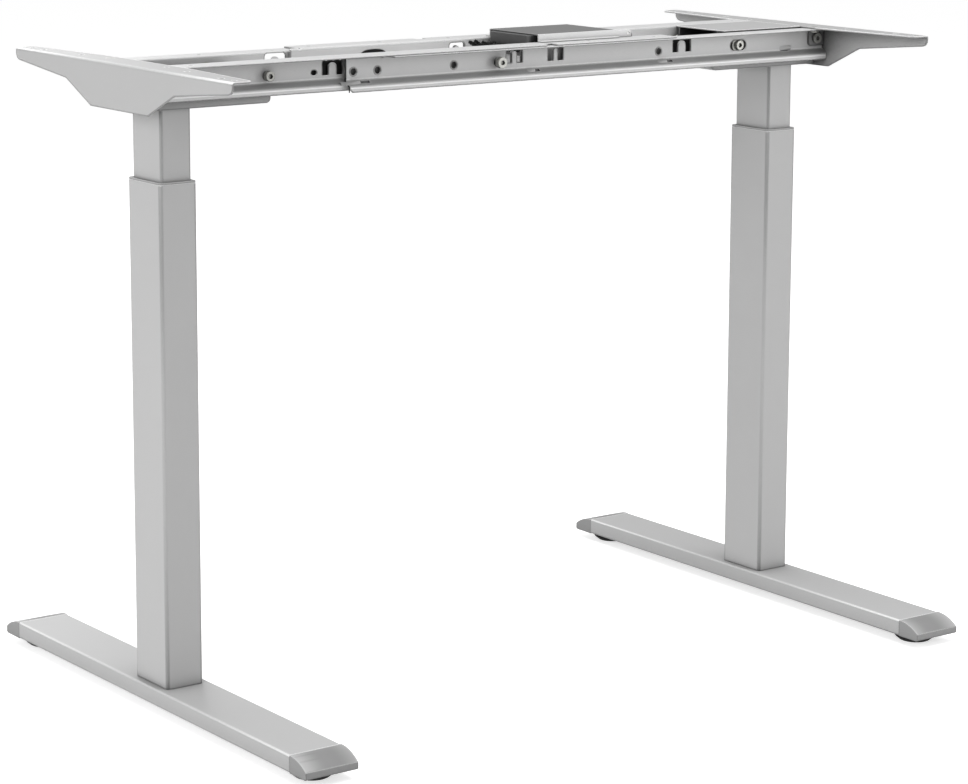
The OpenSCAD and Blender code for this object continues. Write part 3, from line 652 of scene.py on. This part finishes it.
def motor_grid(lo, hi, flip):
    """Can along X from the gearbox end (at the frame's side) to the free end. The
    grooves and the drawn wall are the flange's radius less a small depth."""
    length, flange = hi[0] - lo[0], (hi[2] - lo[2]) / 2.0
    groove, wall = flange - GROOVE, flange - DRAWN
    profile = [(0.0, 0.0), (flange, 0.0), (flange, 4 * MM), (groove, 4.6 * MM), (groove, 9 * MM),
               (wall, 9.6 * MM), (wall, 16 * MM), (groove, 16.6 * MM), (groove, 18.6 * MM), (wall, 19.2 * MM),
               (wall, length - 16 * MM), (groove, length - 15.4 * MM), (groove, length - 13.4 * MM),
               (wall, length - 12.8 * MM), (wall, length - 3 * MM), (flange - 2.4 * MM, length - 0.8 * MM),
               (flange * 0.5, length - 0.8 * MM), (flange * 0.48, length), (0.0, length)]
    pts = turned(profile, 96)
    can = np.stack([pts[..., 2], pts[..., 0], pts[..., 1]], -1)
    if flip:
        can[..., 0] = hi[0] - can[..., 0]
        can = can[:, ::-1]
    else:
        can[..., 0] += lo[0]
    mid = middle(lo, hi)
    can[..., 1] += mid[1]
    can[..., 2] += mid[2]
    return can


for side, flip in SIDES:
    node = f"{side}_motor"
    lo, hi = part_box(node)
    mesh = grid_mesh(f"{node}_can", motor_grid(lo, hi, flip)[:, ::-1], wrap_v=True)
    o = piece(f"{node}_can", mesh, f"{side}_top", "steel")
    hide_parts(node)
print("motors made, length", round(hi[0] - lo[0], 4))

# %% [markdown]
# The rubber grommet in the rear rail's cable hole has a lip on the web's face
# and a membrane inside. Its section is swept round an oblong whose shape is
# a superellipse, and the membrane dishes in towards the middle.
# %% Cable grommet
GROMMET_FROM_BRACKET, GROMMET_DOWN = 659.0 * MM, 18.0 * MM
GROMMET_HALF_L, GROMMET_HALF_H = 19.0 * MM, 9.5 * MM
OBLONG = 2.0 / 2.6
# The lip's rings in mm: how far each grows beyond the hole and stands out of the web.
LIP = ((2.0, 0.0), (2.0, 0.8), (1.2, 1.4), (0.0, 1.4), (-1.4, 1.0), (-2.0, 0.2), (-2.4, -0.6))
MEMBRANE_IN, MEMBRANE_BACK, DISH = 2.4 * MM, 0.6 * MM, 1.2


def grommet_grid(cx, y_face, cz):
    """Rings from the outer lip to the membrane's centre, each an oblong."""
    ux, uz = box_ring(96, OBLONG)

    def ring(half_l, half_h, y):
        """One oblong ring at a depth."""
        return np.stack([cx + half_l * ux, np.full_like(ux, y), cz + half_h * uz], -1)

    rings = [ring(GROMMET_HALF_L + grow * MM, GROMMET_HALF_H + grow * MM, y_face - stand * MM)
             for grow, stand in LIP]
    for share in (0.7, 0.4, 0.08, 0.0):
        depth = (1.0 - share) * DISH * MM
        rings.append(ring((GROMMET_HALF_L - MEMBRANE_IN) * share, (GROMMET_HALF_H - MEMBRANE_IN) * share,
                          y_face + MEMBRANE_BACK + depth))
    return np.array(rings)


lo_r, hi_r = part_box("rear_rail_inner")
lo_t, hi_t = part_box("right_head_tray")
grommet_x = hi_t[0] - GROMMET_FROM_BRACKET
web_y = lo_r[1]
grommet = grommet_grid(grommet_x, web_y, hi_r[2] - GROMMET_DOWN)
piece("cable_grommet", grid_mesh("cable_grommet", grommet, wrap_v=True), "right_top", "black_plastic")
print("grommet at", round(grommet_x, 4), round(web_y, 4))

# %% [markdown]
# Round holes in the outer rails are punched with a small raised rim, which the
# photograph shows as light rings. Each rim is a short turned collar on the web.
# The web's face follows from the inner rail: the outer section is the inner one
# moved out, so that the gap is the same on the web and on the sloping ledge.
# %% Hole rims
OUTER_HOLES = (756.0, 721.0, 608.0, 284.0)
HOLE_DOWN = 21.0 * MM
RIM_R, RIM_W, RIM_H = 4.5 * MM, 1.5 * MM, 0.7 * MM
SHEET, NEST = 2.0 * MM, 2.3 * MM
LEDGE_DEGREES = 54.4
LEDGE_TURN = math.radians(LEDGE_DEGREES)


def rim_grid(x, y, z):
    """Collar round a hole on the front face of a web, axis along -Y."""
    profile = [(RIM_R - 0.1 * MM, -1.6 * MM), (RIM_R - 0.1 * MM, RIM_H * 0.6), (RIM_R + 0.3 * MM, RIM_H),
               (RIM_R + RIM_W * 0.6, RIM_H * 0.9), (RIM_R + RIM_W, 0.0)]
    pts = turned(profile, 40)
    return np.stack([x + pts[..., 0], y - pts[..., 2], z + pts[..., 1]], -1)


lo_o, hi_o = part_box("front_rail_outer")
nest_out = NEST * (1.0 + math.sin(LEDGE_TURN)) / math.cos(LEDGE_TURN)
web_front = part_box("front_rail_inner")[1][1] - nest_out - SHEET
rims = [rim_grid(hi_o[0] - at * MM, web_front, hi_o[2] + NEST - HOLE_DOWN) for at in OUTER_HOLES]
for half, body, flip in HALVES:
    piece(f"{half}_hole_rims", grid_mesh(f"{half}_hole_rims", rims, wrap_v=True), body, "grey_paint", flip)
print("rims at y", round(web_front, 4))

# %% [markdown]
# The ledges carry small pressed louvres at their slots: the sheet is lanced and
# pushed out, rising from left to right, so the right end is an open mouth, closed
# by a black patch as painted shade.
# Each is a half wave across the ledge whose height grows along X. One more sits
# upright on the web near the outer rail's right end.
# %% Louvres
LEDGE_MID = np.array([-58.56 * MM, 746.0 * MM])
LEDGE_DOWN = np.array([-0.813, -0.582])
LEDGE_OUT = np.array([-0.582, 0.813])
WEB_DOWN = np.array([0.0, -1.0])
WEB_OUT = np.array([-1.0, 0.0])
# Distance of each louvre's middle from the outer rail's right end, and its length, in mm.
LOUVRES = ((763.0, 26.0), (495.0, 14.0), (284.0, 18.0))
WEB_LOUVRE_AT, WEB_LOUVRE_LONG, WEB_LOUVRE_HIGH = 68.0 * MM, 20.0 * MM, 753.5 * MM
LOUVRE_HALF, LOUVRE_FOOT, LOUVRE_RISE = 3.3 * MM, 0.95, 2.8
MOUTH_BACK, MOUTH_SHARE = 0.3 * MM, 0.86


def louvre_grid(x, length, mid, down, out_way):
    """Half wave across, its height a smooth climb along X from the sheet's face."""
    u = np.linspace(0.0, 1.0, 17)[:, None]
    v = np.linspace(-1.0, 1.0, 17)[None, :]
    climb = u * u * (3.0 - 2.0 * u)
    high = (LOUVRE_FOOT + LOUVRE_RISE * climb * np.cos(v * np.pi / 2.0) ** 0.7) * MM
    yz = mid + (v * LOUVRE_HALF)[..., None] * down + high[..., None] * out_way
    return np.stack([x + (u - 0.5) * length + 0.0 * v, yz[..., 0], yz[..., 1]], -1)


def mouth_grid(louvre):
    """Black half moon of painted shade that closes the louvre's open end, a hair inside it."""
    rim = louvre[-1].copy()
    rim[:, 0] -= MOUTH_BACK
    base = rim[:1] + (rim[-1:] - rim[:1]) * np.linspace(0, 1, len(rim))[:, None]
    return np.stack([base, base + MOUTH_SHARE * (rim - base)])


skins = [louvre_grid(hi_o[0] - at * MM, long * MM, LEDGE_MID, LEDGE_DOWN, LEDGE_OUT) for at, long in LOUVRES]
skins.append(louvre_grid(hi_o[0] - WEB_LOUVRE_AT, WEB_LOUVRE_LONG,
                         np.array([web_front + 1.0 * MM, WEB_LOUVRE_HIGH]), WEB_DOWN, WEB_OUT))
mouths = [mouth_grid(skin) for skin in skins]
for half, body, flip in HALVES:
    piece(f"{half}_louvres", grid_mesh(f"{half}_louvres", skins), body, "grey_paint", flip)
    # The mouths are black patches of painted shade.
    piece(f"{half}_louvre_mouth_shade", grid_mesh(f"{half}_louvre_mouth_shade", mouths), body, "black_plastic", flip)
print("louvres on each half", len(skins))

# %% [markdown]
# A thin black band on the open end of each outer rail, where the inner rail leaves
# it, is painted shade of the gap there. Its section follows the rail's own bent
# section: down the web, round the upper bend, along the ledge, round the lower bend
# and down the lip.
# %% Painted shade bands at the rail ends
# All in mm here: the bends' centres and radius, the ends of the section, half width and thickness.
UPPER_BEND, LOWER_BEND, BEND_R = (-57.16, 750.7), (-59.96, 741.3), 3.0
SHADE_BAND_TOP, SHADE_BAND_FOOT = (-54.16, 776.6), (-62.96, 736.0)
SHADE_BAND_HALF, SHADE_BAND_THICK = 0.98, 0.4


def end_shade_band_grid(x):
    """A band on the end face: the section's middle line, set off both ways by the
    half width along its normal, then drawn back by the thickness along X."""
    turn = np.radians(np.linspace(180.0, 180.0 + LEDGE_DEGREES, 7))
    back = np.radians(np.linspace(LEDGE_DEGREES, 0.0, 7))
    upper = np.stack([UPPER_BEND[0] - BEND_R * np.cos(turn), UPPER_BEND[1] + BEND_R * np.sin(turn)], -1)
    lower = np.stack([LOWER_BEND[0] - BEND_R * np.cos(back), LOWER_BEND[1] + BEND_R * np.sin(back)], -1)
    mid = np.concatenate([[SHADE_BAND_TOP], upper, lower, [SHADE_BAND_FOOT]]) * MM
    along = np.gradient(mid, axis=0)
    along /= np.linalg.norm(along, axis=1)[:, None]
    off = np.stack([along[:, 1], -along[:, 0]], -1) * SHADE_BAND_HALF * MM
    rings = []
    for dx, way in ((0.0, -1.0), (-SHADE_BAND_THICK, -1.0), (-SHADE_BAND_THICK, 1.0), (0.0, 1.0)):
        yz = mid + way * off
        rings.append(np.stack([np.full(len(yz), x + dx * MM), yz[:, 0], yz[:, 1]], -1))
    return np.stack(rings)


for half, body, flip in HALVES:
    mesh = grid_mesh(f"{half}_rail_end_shade", end_shade_band_grid(lo_o[0]), wrap_u=True, smooth=False)
    piece(f"{half}_rail_end_shade", mesh, body, "black_plastic", flip)
print("end_shade_bands at", round(lo_o[0], 4))

# %% [markdown]
# The plugs at the control box are moulded shells with a waist, ribs and a short
# stub. Each is a rounded box whose size changes along X, and the six differ a
# little in size and in how far they stand out.
# %% Plug shells
PLUG_Y = (-31.0, -18.5, -6.0, 6.5, 19.0, 31.0)
PLUG_IN = (0.2, 4.0, 1.0, 3.0, 5.0, 0.6)
PLUG_W = (5.6, 4.6, 5.4, 4.4, 5.2, 5.8)
PLUG_H = (4.4, 3.4, 4.2, 3.8, 3.2, 4.4)
PLUG_GAP = 0.02 * MM
# The shell's form: share of its length from the free end, and share of its full size there.
SHELL = ((0.0, 0.0), (0.0, 0.40), (0.22, 0.44), (0.24, 0.74), (0.34, 0.78), (0.36, 0.66), (0.42, 0.66),
         (0.44, 0.80), (0.52, 0.82), (0.54, 0.70), (0.60, 0.70), (0.62, 0.96), (0.98, 1.0), (1.0, 0.94),
         (1.0, 0.0))


def shell_grid(x0, x1, y, z, half_w, half_h):
    """Rounded box along X with a waist and two ribs, closed at both ends."""
    across, up = box_ring(40, 0.45)
    at, size = np.array(SHELL).T
    x = x0 + (x1 - x0) * at
    return np.stack([np.broadcast_to(x[:, None], (len(x), len(across))), y + half_w * size[:, None] * across,
                     z + half_h * size[:, None] * up], -1)


lo_p, hi_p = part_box("control_box_plugs")
plug_z = (lo_p[2] + hi_p[2]) / 2.0
shells = [shell_grid(lo_p[0] + inside * MM, hi_p[0] - PLUG_GAP, y * MM, plug_z, w * MM, h * MM)
          for inside, y, w, h in zip(PLUG_IN, PLUG_Y, PLUG_W, PLUG_H)]
mesh = grid_mesh("control_box_plug_shells", shells, wrap_v=True)
o = piece("control_box_plug_shells", mesh, "right_top", "black_plastic")
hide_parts("control_box_plugs")
print("plug shells", len(shells))

# %% [markdown]
# A short ribbed boot runs out of each plug and bends up and aside, which the
# photograph shows as a dark fringe left of the box. The tube's middle line
# climbs with the square of the way along, and its radius shrinks and waves.
# %% Plug boots
BOOT_RISE = (7.5, 3.0, 8.5, 4.0, 9.0, 6.5)
BOOT_SWAY = (5.0, -4.0, 4.0, 5.0, -6.0, -3.0)
BOOT_RIBS, BOOT_ROOT, BOOT_TAPER, BOOT_RIB = 7.0, 3.4, 1.2, 0.35
BOOT_INSIDE, BOOT_LENGTH, LENGTH_PER_RISE = 6.0 * MM, 20.0, 0.8
LEAN, UPRIGHT = 0.35, 0.93


def boot_grid(x, y, z, length, rise, sway):
    """Bent boot: a round tube whose middle line climbs with the square of the way
    along, with seven ribs, closed at both ends. Its rings lean along the tube."""
    t = angles(20)
    u = np.linspace(0.0, 1.0, 44)[:, None]
    closed = np.clip(np.minimum(u, 1.0 - u) * 40.0, 0.0, 1.0) ** 0.5
    r = closed * (BOOT_ROOT - BOOT_TAPER * u + BOOT_RIB * np.cos(u * 2.0 * np.pi * BOOT_RIBS)) * MM
    mid_x, mid_y, mid_z = x - length * u, y + sway * u * u, z + rise * u * u
    return np.stack([mid_x + LEAN * r * np.sin(t), mid_y + r * np.cos(t),
                     mid_z + UPRIGHT * r * np.sin(t)], -1)


boots = [boot_grid(lo_p[0] + BOOT_INSIDE, y * MM, plug_z, (BOOT_LENGTH + LENGTH_PER_RISE * rise) * MM,
                   rise * MM, sway * MM)
         for y, rise, sway in zip(PLUG_Y, BOOT_RISE, BOOT_SWAY)]
mesh = grid_mesh("control_box_plug_boots", boots, wrap_v=True)
piece("control_box_plug_boots", mesh, "right_top", "black_plastic")
print("plug boots", len(boots))

# %% [markdown]
# Behind the outermost window of each front rail the photograph is black. A dark
# ribbed bar of painted shade sits there, inside the channel and clear of the
# sliding inner rail.
# %% Painted shade behind the front windows
WINDOW_SHADES = (("left", -0.328, -0.238), ("right", 0.262, 0.344))
SHADE_BAR_Y, SHADE_BAR_Z, SHADE_BAR_HALF_Y, SHADE_BAR_HALF_Z = -0.0405, 0.7625, 0.0045, 0.0125
SHADE_BAR_RIBS, SHADE_BAR_RIB = 9.0, 0.06


def shade_bar_grid(x0, x1):
    """Soft ribbed bar of painted shade along X: a rounded box whose size waves along its length."""
    across, up = box_ring(40, 0.6)
    u = np.linspace(0.0, 1.0, 60)[:, None]
    closed = np.clip(np.minimum(u, 1.0 - u) * 30.0, 0.0, 1.0) ** 0.5
    size = closed * (0.94 + SHADE_BAR_RIB * np.cos(u * 2.0 * np.pi * SHADE_BAR_RIBS))
    return np.stack([x0 + (x1 - x0) * u + 0.0 * across[None], SHADE_BAR_Y + SHADE_BAR_HALF_Y * size * across,
                     SHADE_BAR_Z + SHADE_BAR_HALF_Z * size * up], -1)


for side, start, end in WINDOW_SHADES:
    mesh = grid_mesh(f"{side}_window_shade_bar", shade_bar_grid(start, end), wrap_v=True)
    piece(f"{side}_window_shade_bar", mesh, f"{side}_top", "black_plastic")
print("window shade bars", len(WINDOW_SHADES))
